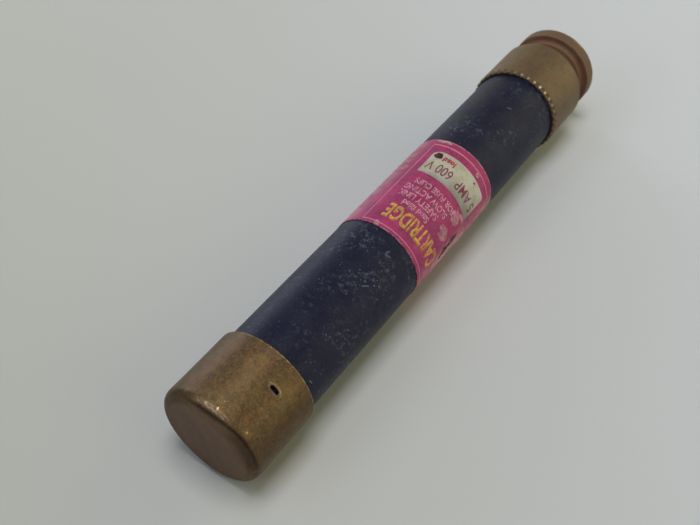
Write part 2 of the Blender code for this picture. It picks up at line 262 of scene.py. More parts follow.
class Graph:
    """A short way to write a material: each method adds a node and returns its output."""

    def __init__(self, name):
        self.material = bpy.data.materials.new(name)
        self.material.use_nodes = True
        self.tree = self.material.node_tree
        self.shader = self.tree.nodes["Principled BSDF"]
        self.here = self.add("ShaderNodeTexCoord", output="Object")
        x, y, z = self.split(self.here)
        self.station = self.math("DIVIDE", x, MM)
        self.angle = self.math("ARCTAN2", self.math("MULTIPLY", y, -1.0), z)
        self.radius = self.math("DIVIDE", self.math("POWER", self.math(
            "ADD", self.math("MULTIPLY", y, y), self.math("MULTIPLY", z, z)), 0.5), MM)
        # The surface unrolled flat: station and arc length at the tube, in millimetres.
        self.arc = self.math("MULTIPLY", self.angle, TUBE_RADIUS / MM)
        self.flat = self.add("ShaderNodeCombineXYZ", self.station, self.arc, 0.0)
        self.solid = self.add("ShaderNodeVectorMath", self.here, (1 / MM,) * 3, operation="MULTIPLY")

    def plug(self, socket, value):
        if isinstance(value, bpy.types.NodeSocket):
            self.tree.links.new(value, socket)
        elif value is not None:
            socket.default_value = value

    def add(self, kind, *values, output=0, **settings):
        node = self.tree.nodes.new(kind)
        for key, setting in settings.items():
            setattr(node, key, setting)
        for socket, value in zip(node.inputs, values):
            self.plug(socket, value)
        return node.outputs[output]

    def split(self, vector):
        node = self.tree.nodes.new("ShaderNodeSeparateXYZ")
        self.plug(node.inputs[0], vector)
        return node.outputs

    def math(self, operation, a, b=None):
        return self.add("ShaderNodeMath", a, b, operation=operation)

    def times(self, *values):
        product = values[0]
        for value in values[1:]:
            product = self.math("MULTIPLY", product, value)
        return product

    def most(self, *values):
        top = values[0]
        for value in values[1:]:
            top = self.math("MAXIMUM", top, value)
        return top

    def invert(self, value):
        return self.math("SUBTRACT", 1.0, value)

    def band(self, value, low, high):
        """0 below low, 1 above high (or the other way round if low is above high)."""
        if low > high:
            return self.invert(self.band(value, high, low))
        return self.add("ShaderNodeMapRange", value, low, high, 0.0, 1.0,
                        interpolation_type="SMOOTHSTEP")

    def stripe(self, value, middle, half, soft):
        """1 within half of middle, falling to 0 over soft."""
        away = self.math("ABSOLUTE", self.math("SUBTRACT", value, middle))
        return self.band(away, half + soft, half)

    def sector(self, low, high):
        """A band over the angle about the axis, in degrees."""
        return self.band(self.angle, math.radians(low), math.radians(high))

    def arc_stripe(self, middle, half, soft):
        """A stripe over the angle about the axis, in degrees."""
        return self.stripe(self.angle, math.radians(middle), math.radians(half), math.radians(soft))

    def noise(self, where, scale, detail=3.0, roughness=0.55, stretch=None, seed=0.0):
        if stretch or seed:
            where = self.add("ShaderNodeMapping", where, (seed, seed * 1.7, seed * 0.6), (0, 0, 0),
                             stretch or (1, 1, 1))
        node = self.tree.nodes.new("ShaderNodeTexNoise")
        self.plug(node.inputs["Vector"], where)
        node.inputs["Scale"].default_value = scale
        node.inputs["Detail"].default_value = detail
        node.inputs["Roughness"].default_value = roughness
        return node.outputs["Fac"]

    def cells(self, where, scale, seed=0.0):
        """Distance to the nearest of a set of scattered points."""
        where = self.add("ShaderNodeMapping", where, (seed, seed, 0), (0, 0, 0), (1, 1, 1))
        node = self.tree.nodes.new("ShaderNodeTexVoronoi")
        self.plug(node.inputs["Vector"], where)
        node.inputs["Scale"].default_value = scale
        return node.outputs["Distance"]

    def mix(self, share, a, b, blend="MIX"):
        node = self.tree.nodes.new("ShaderNodeMix")
        node.data_type = "RGBA"
        node.blend_type = blend
        self.plug(node.inputs[0], share)
        self.plug(node.inputs[6], opaque(a))
        self.plug(node.inputs[7], opaque(b))
        return node.outputs[2]

    def spot(self, station, degrees, half_station, half_arc, ragged=0.5, scale=1.2, seed=0.0):
        """A ragged patch round one place on the fuse, sizes in millimetres."""
        x = self.math("DIVIDE", self.math("SUBTRACT", self.station, station), half_station)
        middle = math.radians(degrees) * TUBE_RADIUS / MM
        y = self.math("DIVIDE", self.math("SUBTRACT", self.arc, middle), half_arc)
        away = self.math("POWER", self.math("ADD", self.math("MULTIPLY", x, x),
                                            self.math("MULTIPLY", y, y)), 0.5)
        wander = self.math("SUBTRACT", self.noise(self.flat, scale, 4.0, 0.6, seed=seed), 0.5)
        away = self.math("ADD", away, self.math("MULTIPLY", wander, 2 * ragged))
        return self.band(away, 1.0, 0.75)

    def bump(self, height, depth, under=None, strength=1.0):
        node = self.tree.nodes.new("ShaderNodeBump")
        node.inputs["Strength"].default_value = strength
        node.inputs["Distance"].default_value = depth
        self.plug(node.inputs["Height"], height)
        self.plug(node.inputs["Normal"], under)
        return node.outputs[0]

    def finish(self, colour, roughness, metallic=0.0, normal=None, shine=None):
        values = {"Base Color": opaque(colour), "Roughness": roughness, "Metallic": metallic,
                  "Normal": normal, "Specular IOR Level": shine}
        for name, value in values.items():
            self.plug(self.shader.inputs[name], value)
        return self.material


def opaque(colour):
    return (*colour, 1.0) if isinstance(colour, tuple) and len(colour) == 3 else colour


def srgb(red, green, blue):
    """A colour given as 0 to 255 screen values, as linear light."""
    shares = [value / 255 for value in (red, green, blue)]
    return tuple(s / 12.92 if s <= 0.04045 else ((s + 0.055) / 1.055) ** 2.4 for s in shares)


# ---------------------------------------------------------------- materials

def brass_ground(g):
    """Tarnished brass with pinkish stains: its colour, and the fine grain behind it."""
    cloud = g.noise(g.solid, 0.15, 4.0, 0.6)
    blotch = g.noise(g.solid, 0.38, 5.0, 0.62, seed=7.3)
    patch = g.noise(g.solid, 0.75, 5.0, 0.66, seed=27.0)
    grain = g.noise(g.solid, 2.2, 4.0, 0.65, seed=3.1)
    colour = g.mix(g.band(cloud, 0.40, 0.60), srgb(122, 101, 69), srgb(104, 84, 62))
    colour = g.mix(g.times(g.band(blotch, 0.50, 0.62), 0.50), colour, srgb(122, 84, 62))
    colour = g.mix(g.times(g.band(patch, 0.52, 0.62), 0.45), colour, srgb(142, 108, 66))
    colour = g.mix(g.times(g.band(patch, 0.47, 0.37), 0.45), colour, srgb(78, 62, 46))
    colour = g.mix(g.times(g.band(blotch, 0.46, 0.34), 0.35), colour, srgb(128, 107, 62))
    colour = g.mix(g.times(g.band(grain, 0.52, 0.68), 0.45), colour, srgb(158, 134, 92))
    colour = g.mix(g.times(g.band(grain, 0.48, 0.32), 0.45), colour, srgb(74, 56, 40))
    return colour, grain


def finish_brass(g, colour, grain, worn, metallic=0.55, dull=0.0):
    """Adds the drawing lines left round the ferrule and the shine of its rubbed places."""
    turned = g.add("ShaderNodeCombineXYZ", g.math("ADD", g.station, g.radius), g.arc, 0.0)
    drawn = g.noise(turned, 1.0, 5.0, 0.7, stretch=(9.0, 0.30, 1.0), seed=2.0)
    places = g.band(g.noise(g.solid, 0.25, 3.0, 0.5, seed=5.0), 0.42, 0.62)
    lines = g.times(g.band(drawn, 0.57, 0.68), g.math("ADD", 0.25, g.times(places, 0.75)))
    worn = g.most(g.times(lines, 0.30), worn)
    colour = g.mix(worn, colour, srgb(208, 182, 134))
    roughness = g.math("ADD", 0.50, g.times(g.math("SUBTRACT", grain, 0.5), 0.4))
    roughness = g.math("ADD", roughness, g.math("SUBTRACT", g.times(dull, 0.3), g.times(worn, 0.14)))
    normal = g.bump(grain, 0.03 * MM)
    normal = g.bump(drawn, 0.012 * MM, normal)
    metal = g.math("SUBTRACT", metallic, g.times(dull, metallic * 0.7))
    return g.finish(colour, roughness, metal, normal, shine=0.2)


# Bright nicks on the rounded shoulder: distance from the end, angle, half sizes, strength.
CREST_NICKS = (
    (1.25, 2.0, 0.26, 0.24, 0.75),
    (1.65, 14.0, 0.32, 0.15, 0.95),
    (3.30, 14.5, 0.15, 0.15, 0.55),
    (2.20, 48.0, 0.22, 0.16, 0.80),
)


def plain_brass():
    g = Graph("aged_brass_plain")
    colour, grain = brass_ground(g)
    from_end = g.math("SUBTRACT", g.station, PLAIN_END / MM)

    # Painted shade: darker behind and low on the front.
    shade_behind = g.sector(-8, -45)
    colour = g.mix(g.times(shade_behind, 0.65), colour, srgb(78, 62, 44))
    shade_low_front = g.sector(48, 75)
    colour = g.mix(g.times(shade_low_front, 0.45), colour, srgb(76, 58, 38))

    face = g.times(g.band(from_end, 0.9, 0.5), g.band(g.radius, 8.8, 8.0))
    colour = g.mix(g.times(face, 0.5), colour, srgb(128, 96, 76))

    # Painted shade along the fold of the shoulder, wider and redder low on the front, and a painted
    # highlight with bright flecks where its crest is rubbed.
    wander = g.times(g.band(g.angle, *FOLD_WANDER_ANGLES), FOLD_WANDER / MM)
    past_fold = g.math("SUBTRACT", g.math("SUBTRACT", from_end, FOLD_FROM_END / MM), wander)
    along_fold = g.times(g.band(g.angle, *FOLD_START_ANGLES),
                         g.invert(g.band(g.angle, *FOLD_END_ANGLES)))
    # Painted shade: a dark line along the fold.
    colour = g.mix(g.times(along_fold, g.stripe(past_fold, 0.0, 0.05, 0.16), 0.8), colour, srgb(44, 32, 26))
    # Painted shade: a wider, redder dark band along the fold low on the front.
    fold_shade_low = g.times(along_fold, g.sector(28, 50))
    colour = g.mix(g.times(fold_shade_low, g.stripe(past_fold, -0.20, 0.20, 0.40), 0.65), colour, srgb(72, 46, 32))
    # Painted highlight over rubbed metal: whitish streaks along the crest of the shoulder.
    streaks = g.noise(g.flat, 1.5, 4.0, 0.6, stretch=(1.9, 0.9, 1.0), seed=11.0)
    crest = g.times(g.stripe(from_end, 1.22, 0.20, 0.30),
                    g.arc_stripe(10, 11, 12),
                    g.math("ADD", 0.15, g.times(g.band(streaks, 0.50, 0.60), 0.85)))
    colour = g.mix(g.times(crest, 0.65), colour, srgb(196, 172, 154))
    sparse = g.band(g.noise(g.flat, 1.3, 4.0, 0.7, seed=15.0), 0.64, 0.70)
    flecks = g.times(g.stripe(from_end, 1.6, 0.5, 0.4), sparse,
                     g.arc_stripe(20, 30, 15))
    crest = g.most(g.times(crest, 0.2), flecks)
    for index, (distance, degrees, half_station, half_arc, strength) in enumerate(CREST_NICKS):
        place = g.spot(PLAIN_END / MM + distance, degrees, half_station, half_arc, 0.5, 3.0,
                       seed=50.0 + index)
        crest = g.most(crest, g.times(place, strength))

    # A paler lip, and pale metal pushed up round the staking slot.
    speckle = g.band(g.noise(g.solid, 1.9, 4.0, 0.7, seed=18.0), 0.44, 0.62)
    lip = g.times(g.stripe(g.station, PLAIN_LIP / MM - 0.10, 0.10, 0.14),
                  g.math("ADD", 0.05, g.times(speckle, 0.45)))
    x = g.math("DIVIDE", g.math("SUBTRACT", from_end, STAKE_FROM_END / MM), 0.72)
    y = g.math("DIVIDE", g.math("SUBTRACT", g.times(g.angle, FERRULE_RADIUS / MM),
                                STAKE_ANGLE * FERRULE_RADIUS / MM), 1.30)
    away = g.math("POWER", g.math("ADD", g.times(x, x), g.times(y, y)), 0.5)
    pushed = g.times(g.stripe(away, 1.0, 0.10, 0.26), g.math("ADD", 0.12, g.times(speckle, 0.5)),
                     g.math("ADD", 0.25, g.times(g.band(x, -0.2, 0.6), 0.75)))
    colour = g.mix(g.times(pushed, 0.7), colour, srgb(196, 178, 160))
    pushed = g.times(pushed, 0.35)
    return finish_brass(g, colour, grain, g.most(crest, lip, pushed))


def reject_brass():
    g = Graph("aged_brass_reject")
    colour, grain = brass_ground(g)
    colour = g.mix(0.52, colour, srgb(106, 90, 74))
    from_lip = g.math("SUBTRACT", g.station, REJECT_LIP / MM)
    from_end = g.math("SUBTRACT", REJECT_END / MM, g.station)

    # Rubbed tooth tips, with a painted highlight over an arc on the upper front.
    wave = g.math("COSINE", g.times(g.math("SUBTRACT", g.angle, TOOTH_TURN), float(TOOTH_COUNT)))
    varied = g.band(g.noise(g.solid, 0.35, 3.0, 0.6, seed=14.0), 0.35, 0.65)
    tips = g.times(g.band(wave, 0.35, 0.85), g.stripe(from_lip, 0.42, 0.28, 0.22),
                   g.arc_stripe(28, 20, 26),
                   g.most(g.math("ADD", 0.30, g.times(varied, 0.40)),
                          g.arc_stripe(30, 5, 9)))
    colour = g.mix(tips, colour, srgb(226, 214, 190))

    # Reddish dirt lies in the groove; the rim's wall that faces into it carries painted light over the same
    # dirt; and the rim beyond it is duller than the band.
    below = g.band(g.radius, RIM_RADIUS / MM + 0.10, RIM_RADIUS / MM - 0.10)
    rim_zone = g.band(from_end, RIM_LENGTH / MM + 0.35, RIM_LENGTH / MM - 0.15)
    groove_zone = g.times(g.invert(rim_zone), g.band(from_end, 8.4, 7.7))
    wall_zone = g.stripe(from_end, RIM_LENGTH / MM + 0.25, 0.35, 0.35)
    mottled = g.band(g.noise(g.solid, 0.4, 3.0, 0.6, seed=23.0), 0.40, 0.60)
    groove_dirt = g.mix(mottled, srgb(106, 80, 56), srgb(112, 76, 56))
    colour = g.mix(g.times(groove_zone, below, 0.85), colour, groove_dirt)
    colour = g.mix(g.times(rim_zone, 0.7), colour, srgb(120, 96, 80))
    # Painted light: the rim's wall facing into the groove is lighter, mottled like the reddish dirt.
    wall_light_and_dirt = g.mix(mottled, srgb(158, 124, 98), srgb(158, 114, 94))
    colour = g.mix(g.times(wall_zone, below, 0.85), colour, wall_light_and_dirt)
    speckle = g.band(g.noise(g.solid, 0.5, 4.0, 0.65, seed=18.0), 0.50, 0.62)
    rim = g.times(g.stripe(from_end, 0.3, 0.3, 0.5), speckle, 0.40,
                  g.band(g.radius, RIM_RADIUS / MM - 0.8, RIM_RADIUS / MM - 0.2))
    return finish_brass(g, colour, grain, rim, 0.36, dull=g.most(groove_zone, g.times(rim_zone, 0.5)))


# Deeper scratches: station and angle of the middle, half length, lean from the axis in degrees.
TUBE_SCRATCHES = (
    (-17.9, 34.0, 0.7, 78.0),
    (-17.3, 31.0, 0.5, 20.0),
    (-46.2, 66.0, 0.5, 70.0),
    (-26.0, 38.0, 0.8, 40.0),
    (32.0, 20.0, 0.6, 60.0),
)


def tube_material():
    """Dark fibre tube with dust, scuffs and short scratches."""
    g = Graph("dark_fibre")
    cloud = g.noise(g.solid, 0.22, 4.0, 0.6)
    grain = g.noise(g.flat, 2.6, 4.0, 0.6, stretch=(1.0, 0.45, 1.0))
    colour = g.mix(g.band(cloud, 0.35, 0.65), srgb(31, 33, 57), srgb(40, 42, 63))
    colour = g.mix(g.times(g.band(grain, 0.5, 0.75), 0.40), colour, srgb(56, 58, 78))
    colour = g.mix(g.times(g.band(grain, 0.48, 0.32), 0.35), colour, srgb(24, 24, 32))

    # Dust gathers in patches: a haze, specks, and scratches that run three ways.
    patches = g.band(g.noise(g.flat, 0.13, 3.0, 0.6, seed=4.0), 0.44, 0.60)
    haze = g.times(g.band(g.noise(g.flat, 0.9, 5.0, 0.7, seed=9.0), 0.50, 0.70), patches)
    big = g.times(g.band(g.cells(g.flat, 0.9, seed=2.0), 0.17, 0.09),
                  g.band(g.noise(g.flat, 0.7, 3.0, seed=6.0), 0.48, 0.56))
    small = g.times(g.band(g.cells(g.flat, 1.9, seed=7.0), 0.22, 0.10),
                    g.band(g.noise(g.flat, 0.5, 4.0, seed=3.0), 0.46, 0.60))
    dust = g.most(g.times(haze, 0.30), g.times(big, 0.75, g.math("ADD", 0.35, g.times(patches, 0.65))),
                  g.times(small, 0.60, g.math("ADD", 0.35, g.times(patches, 0.65))))
    for turn, seed in ((25, 5.0), (-50, 8.0), (95, 13.0)):
        where = g.add("ShaderNodeMapping", g.flat, (seed, seed, 0), (0, 0, math.radians(turn)), (1, 1, 1))
        streak = g.band(g.noise(where, 1.0, 3.0, 0.6, stretch=(0.45, 5.0, 1.0)), 0.68, 0.74)
        dust = g.most(dust, g.times(streak, 0.40, g.math("ADD", 0.2, g.times(patches, 0.8))))
    dust = g.most(dust, *[g.times(scratch_mark(g, *mark), 0.55) for mark in TUBE_SCRATCHES])
    colour = g.mix(dust, colour, srgb(140, 148, 168))
    roughness = g.math("ADD", 0.46, g.times(dust, 0.3))
    normal = g.bump(grain, 0.012 * MM)
    return g.finish(colour, roughness, 0.0, normal, shine=0.12)


def scratch_mark(g, station, degrees, half, lean):
    """A short straight scratch, in millimetres on the unrolled tube."""
    x = g.math("SUBTRACT", g.station, station)
    y = g.math("SUBTRACT", g.arc, math.radians(degrees) * TUBE_RADIUS / MM)
    c, s = math.cos(math.radians(lean)), math.sin(math.radians(lean))
    along = g.math("ADD", g.times(x, c), g.times(y, s))
    across = g.math("SUBTRACT", g.times(y, c), g.times(x, s))
    return g.times(g.stripe(along, 0.0, half * 0.7, half * 0.4), g.stripe(across, 0.0, 0.05, 0.10))


# Worn places on the label: station, angle, half length, half width round the tube, strength.
LABEL_SCUFFS = (
    (-13.5, -2.0, 0.9, 0.6, 0.85),
    (-3.6, 66.0, 1.5, 1.7, 0.55),
    (1.1, 64.0, 1.6, 1.9, 0.55),
    (2.9, 74.0, 0.6, 1.2, 0.70),
    (12.2, 48.0, 0.6, 0.5, 0.90),
    (14.2, -10.0, 0.45, 2.0, 0.75),
    (-2.6, 93.0, 6.2, 1.5, 0.70),
)
LABEL_TEARS = (
    (-4.4, 89.5, 2.1, 0.85, 0.90),
    (-0.6, 87.5, 2.3, 0.80, 0.85),
)


def label_colour(g):
    """The label's own printed ground, worn and scuffed, with painted shade on its underside, and how worn
    each place is.
    """
    cloud = g.noise(g.flat, 0.25, 4.0, 0.6, seed=1.0)
    colour = g.mix(g.band(cloud, 0.35, 0.65), srgb(184, 64, 119), srgb(158, 54, 106))
    grain = g.noise(g.flat, 3.0, 4.0, 0.7, seed=6.0)
    colour = g.mix(g.times(g.band(grain, 0.50, 0.72), 0.32), colour, srgb(190, 84, 126))
    colour = g.mix(g.times(g.band(grain, 0.48, 0.30), 0.35), colour, srgb(98, 24, 62))
    edge = g.invert(g.stripe(g.station, (LABEL_START + LABEL_END) / 2 / MM, 13.9, 0.35))
    ragged = g.band(g.noise(g.flat, 1.3, 6.0, 0.72, seed=12.0), 0.42, 0.62)
    cloudy = g.band(g.noise(g.flat, 0.45, 5.0, 0.62, seed=31.0), 0.38, 0.62)
    torn = g.band(g.noise(g.flat, 0.9, 4.0, 0.6, stretch=(1.6, 1.0, 1.0), seed=17.0), 0.38, 0.60)
    # The print is washed out behind its frame line and low on the front.
    faded = g.times(g.sector(-24, -50), g.sector(-150, -62))
    low = g.times(g.sector(74, 100), g.sector(150, 105))
    scuffs = g.most(g.times(ragged, 0.06), g.times(edge, ragged, 0.7),
                    g.times(faded, g.math("ADD", 0.16, g.times(cloudy, 0.34))),
                    g.times(low, g.math("ADD", 0.20, g.times(cloudy, 0.45))))
    for index, (station, degrees, half_station, half_arc, strength) in enumerate(LABEL_SCUFFS):
        place = g.spot(station, degrees, half_station, half_arc, 1.1, 0.9, seed=20.0 + index)
        scuffs = g.most(scuffs, g.times(place, g.math("ADD", 0.3, g.times(torn, 0.7)), strength))
    colour = g.mix(scuffs, colour, srgb(216, 188, 188))
    # Painted shade darkens and dulls the underside.
    under = g.most(g.sector(108, 135), g.sector(-110, -140))
    colour = g.mix(g.times(under, 0.55), colour, srgb(112, 92, 92))
    for index, (station, degrees, half_station, half_arc, strength) in enumerate(LABEL_TEARS):
        place = g.spot(station, degrees, half_station, half_arc, 1.4, 0.55, seed=43.0 + index)
        colour = g.mix(g.times(place, strength), colour, srgb(58, 60, 52))
        scuffs = g.most(scuffs, place)
    return colour, scuffs


def label_material():
    g = Graph("printed_paper")
    colour, scuffs = label_colour(g)
    fibre = g.noise(g.flat, 6.0, 5.0, 0.7)
    normal = g.bump(fibre, 0.012 * MM)
    return g.finish(colour, g.math("ADD", 0.45, g.times(scuffs, 0.3)), 0.0, normal, shine=0.12)


def print_material(name, ink, cover=1.0, low=0.40, high=0.52, second=None):
    """Ink on the label, rubbed away in places so that the ground shows through."""
    g = Graph(name)
    ground, scuffs = label_colour(g)
    wear = g.band(g.noise(g.flat, 2.2, 6.0, 0.75, seed=21.0), high, low)
    if second:
        ink = g.mix(g.band(g.noise(g.flat, 0.5, 3.0, seed=8.0), 0.4, 0.6), ink, second)
    share = g.times(g.invert(g.times(wear, 0.75)), cover, g.invert(g.times(scuffs, 0.6)))
    normal = g.bump(g.noise(g.flat, 6.0, 5.0, 0.7), 0.01 * MM)
    return g.finish(g.mix(share, ground, ink), 0.48, 0.0, normal, shine=0.25)


def grainy_material(name, light, dark, scale, roughness, metallic=0.0, depth=0.02 * MM):
    """A plain stock finish: two tones in a fine grain, with some relief."""
    g = Graph(name)
    grain = g.noise(g.solid, scale, 5.0, 0.65)
    cloud = g.noise(g.solid, 0.3, 3.0)
    colour = g.mix(g.band(grain, 0.35, 0.65), dark, light)
    colour = g.mix(g.times(g.band(cloud, 0.4, 0.7), 0.3), colour, dark)
    rougher = g.math("ADD", roughness, g.times(g.math("SUBTRACT", grain, 0.5), 0.25))
    return g.finish(colour, rougher, metallic, g.bump(grain, depth))


# ---------------------------------------------------------------- outside pieces

def fold_shape(angle, radius, station, outer):
    """Presses a fold into the plain ferrule's round shoulder and flattens what lies inside it."""
    along = SHOULDER - (station - PLAIN_END)
    across = radius - (outer - SHOULDER)
    rounded = (along > 0) & (across > 0) & (np.hypot(along, across) > SHOULDER - 0.15 * MM)
    on_face = (station < PLAIN_END + 0.2 * MM) & (across <= 0)
    share = ramp(angle, *FOLD_START_ANGLES) * (1 - ramp(angle, *FOLD_END_ANGLES))
    fold_along = SHOULDER - FOLD_FROM_END - FOLD_WANDER * ramp(angle, *FOLD_WANDER_ANGLES)
    fold_turn = np.arccos(np.clip(fold_along / SHOULDER, 0, 1))
    fold_radius = outer - SHOULDER + SHOULDER * np.sin(fold_turn)
    turn = np.arctan2(across, along)
    inside = on_face | (rounded & (turn < fold_turn))
    part = np.clip((radius - FLAT_RADIUS) / (fold_radius - FLAT_RADIUS), 0, 1)
    chord = PLAIN_END + FACE_RECESS + (SHOULDER - fold_along - FACE_RECESS) * part
    flatten = 0.92 * share * inside * (part > 0)
    station = station + (np.maximum(chord, station) - station) * flatten
    past = SHOULDER * (turn - fold_turn)
    push = share * rounded * (0.05 * bell(past - 0.36 * MM, 0.20 * MM)
                              - 0.13 * bell(past, 0.15 * MM)) * MM
    return radius + push * np.sin(turn), station - push * np.cos(turn)


def plain_ferrule_shape(angle, radius, station):
    """Small dents along the shoulder, a slight waver, and metal raised round the staking slot."""
    points = around(angle, radius, station)
    signed = (angle + math.pi) % (2 * math.pi) - math.pi
    outside = ramp(radius, FERRULE_RADIUS - WALL * 0.6, FERRULE_RADIUS - WALL * 0.3)
    shoulder_zone = bell(station - PLAIN_END - 0.9 * MM, 0.8 * MM) * ramp(radius, 8.4 * MM, 9.0 * MM)
    dents = ramp(rough(points, 0.9 * MM, 5.0), 0.2, 0.6)
    radius, station = fold_shape(signed, radius, station, FERRULE_RADIUS - WAVER)
    radius = radius + outside * rough(points, 6 * MM, 2.0) * WAVER
    radius = radius - shoulder_zone * dents * 0.07 * MM
    station = station + shoulder_zone * dents * 0.05 * MM

    straight = STAKE_HALF_LENGTH - STAKE_HALF_WIDTH
    along = np.clip(np.abs((signed - STAKE_ANGLE) * FERRULE_RADIUS) - straight, 0, None)
    away = np.hypot(station - PLAIN_END - STAKE_FROM_END, along)
    dimple = -0.10 * MM * bell(away, 1.6 * MM)
    lip = 0.15 * MM * bell(away - 0.58 * MM, 0.16 * MM)
    return radius + outside * (dimple + lip), station


def build_plain_ferrule():
    outer = FERRULE_RADIUS - WAVER
    inner = FERRULE_RADIUS - WALL
    floor = PLAIN_END + 0.8 * MM
    face = PLAIN_END + FACE_RECESS
    profile = [(0, floor)]
    profile += arc(inner - SHOULDER + WALL, floor + SHOULDER - WALL, SHOULDER - WALL, -90, 0)
    profile += arc(inner + 0.12 * MM, PLAIN_LIP - 0.08 * MM, 0.08 * MM, 180, 90, 3)
    profile += arc(outer - 0.2 * MM, PLAIN_LIP - 0.2 * MM, 0.2 * MM, 90, 0)
    profile += arc(outer - SHOULDER, PLAIN_END + SHOULDER, SHOULDER, 0, -90, 40)
    # The end is very slightly dished.
    profile += [(FLAT_RADIUS, face), (0, face)]
    mesh = lathe("plain_ferrule_body", dense(profile, 0.25 * MM), plain_ferrule_shape)
    piece = new_piece("plain_ferrule_body", mesh, plain_brass(), nodes=["plain_ferrule"])
    cutter = stake_cutter()
    boolean = piece.modifiers.new("stake", "BOOLEAN")
    boolean.object = cutter
    boolean.solver = "EXACT"
    apply_modifiers(piece)
    bpy.data.objects.remove(cutter)


def stake_cutter():
    """A round-ended bar that punches the staking slot through the ferrule's wall."""
    shape = bmesh.new()
    round_steps = 10
    straight = STAKE_HALF_LENGTH - STAKE_HALF_WIDTH
    outline = []
    for side, centre in ((0, straight), (math.pi, -straight)):
        for i in range(round_steps + 1):
            turn = side + math.pi * i / round_steps
            outline.append((STAKE_HALF_WIDTH * math.cos(turn), centre + STAKE_HALF_WIDTH * math.sin(turn)))
    face = shape.faces.new([shape.verts.new((x, y, -2 * WALL)) for x, y in outline])
    top = bmesh.ops.extrude_face_region(shape, geom=[face])["geom"]
    raised = [item for item in top if isinstance(item, bmesh.types.BMVert)]
    bmesh.ops.translate(shape, vec=(0, 0, 4 * WALL), verts=raised)
    bmesh.ops.recalc_face_normals(shape, faces=shape.faces)
    cutter = new_object("stake_punch", mesh_from(shape, "stake_punch"))
    place = around(STAKE_ANGLE, FERRULE_RADIUS, PLAIN_END + STAKE_FROM_END)
    cutter.matrix_world = Matrix.Translation(place) @ Matrix.Rotation(STAKE_ANGLE, 4, "X")
    return cutter


def reject_ferrule_shape(angle, radius, station):
    """Rounded teeth round the lip, and a slight waver of the drawn metal."""
    points = around(angle, radius, station)
    outside = ramp(radius, FERRULE_RADIUS - WALL * 0.7, FERRULE_RADIUS - WALL * 0.4)
    from_lip = station - REJECT_LIP
    wave = 0.5 - 0.5 * np.cos((angle - TOOTH_TURN) * TOOTH_COUNT)
    gap = ramp(wave, 0.35, 0.80) * ramp(-from_lip, -TOOTH_LENGTH, -0.6 * TOOTH_LENGTH)
    radius = radius + outside * rough(points, 6 * MM, 9.0) * WAVER
    return radius - outside * gap * TOOTH_DEPTH, station


def build_reject_ferrule():
    outer = FERRULE_RADIUS - WAVER
    inner = FERRULE_RADIUS - WALL
    throat = GROOVE_RADIUS - WALL
    rim_start = REJECT_END - RIM_LENGTH
    groove_start = rim_start - GROOVE_LENGTH
    shoulder = groove_start - WALL
    floor = REJECT_END - 0.8 * MM
    rim_round, fillet = 0.5 * MM, 0.9 * MM
    profile = [(0, REJECT_END)]
    profile += arc(RIM_RADIUS - rim_round, REJECT_END - rim_round, rim_round, 90, 0)
    profile += arc(RIM_RADIUS - 0.3 * MM, rim_start + 0.3 * MM, 0.3 * MM, 0, -90)
    profile += arc(GROOVE_RADIUS + fillet, rim_start - fillet, fillet, 90, 180)
    profile += arc(GROOVE_RADIUS + fillet, groove_start + fillet, fillet, 180, 270)
    profile += arc(outer - rim_round, groove_start - rim_round, rim_round, 90, 0)
    profile += arc(outer - 0.25 * MM, REJECT_LIP + 0.25 * MM, 0.25 * MM, 0, -90)
    profile += [(inner, REJECT_LIP), (inner, shoulder), (throat, shoulder)]
    profile += [(throat, rim_start + WALL), (RIM_RADIUS - WALL, rim_start + WALL)]
    profile += [(RIM_RADIUS - WALL, floor), (0, floor)]
    mesh = lathe("reject_ferrule_body", dense(profile, 0.2 * MM), reject_ferrule_shape,
                 steps=STEPS_PER_TOOTH * TOOTH_COUNT)
    new_piece("reject_ferrule_body", mesh, reject_brass(), nodes=["reject_ferrule"])


def tube_shape(angle, radius, station):
    points = around(angle, radius, station)
    outside = ramp(radius, TUBE_BORE, TUBE_RADIUS)
    ring = bell(station - (REJECT_LIP - 1.5 * MM), 0.25 * MM) * 0.03 * MM
    return radius + outside * (rough(points, 9 * MM, 4.0) * 0.02 * MM + ring), station


def build_tube():
    start, end = TUBE_LOW.x, TUBE_HIGH.x
    outer = TUBE_RADIUS - WAVER
    chamfer = 0.3 * MM
    profile = [(TUBE_BORE, end), (outer - chamfer, end), (outer, end - chamfer)]
    profile += [(outer, start + chamfer), (outer - chamfer, start), (TUBE_BORE, start), (TUBE_BORE, end)]
    profile = dense(profile, 0.5 * MM)[:-1]
    mesh = lathe("fuse_tube_body", profile, tube_shape, steps=TUBE_STEPS, ring=True)
    new_piece("fuse_tube_body", mesh, tube_material(), nodes=["fuse_tube"])


# ---------------------------------------------------------------- label and print

LABEL_THICKNESS = 0.10 * MM
INK_THICKNESS = 0.008 * MM
# How far the middle of the sheet lies inside the CAD label's surface, which leaves room for the lap.
LABEL_INSET = 0.12 * MM
LABEL_SEAM_ANGLE = math.radians(200)
LABEL_OVERLAP = math.radians(14)


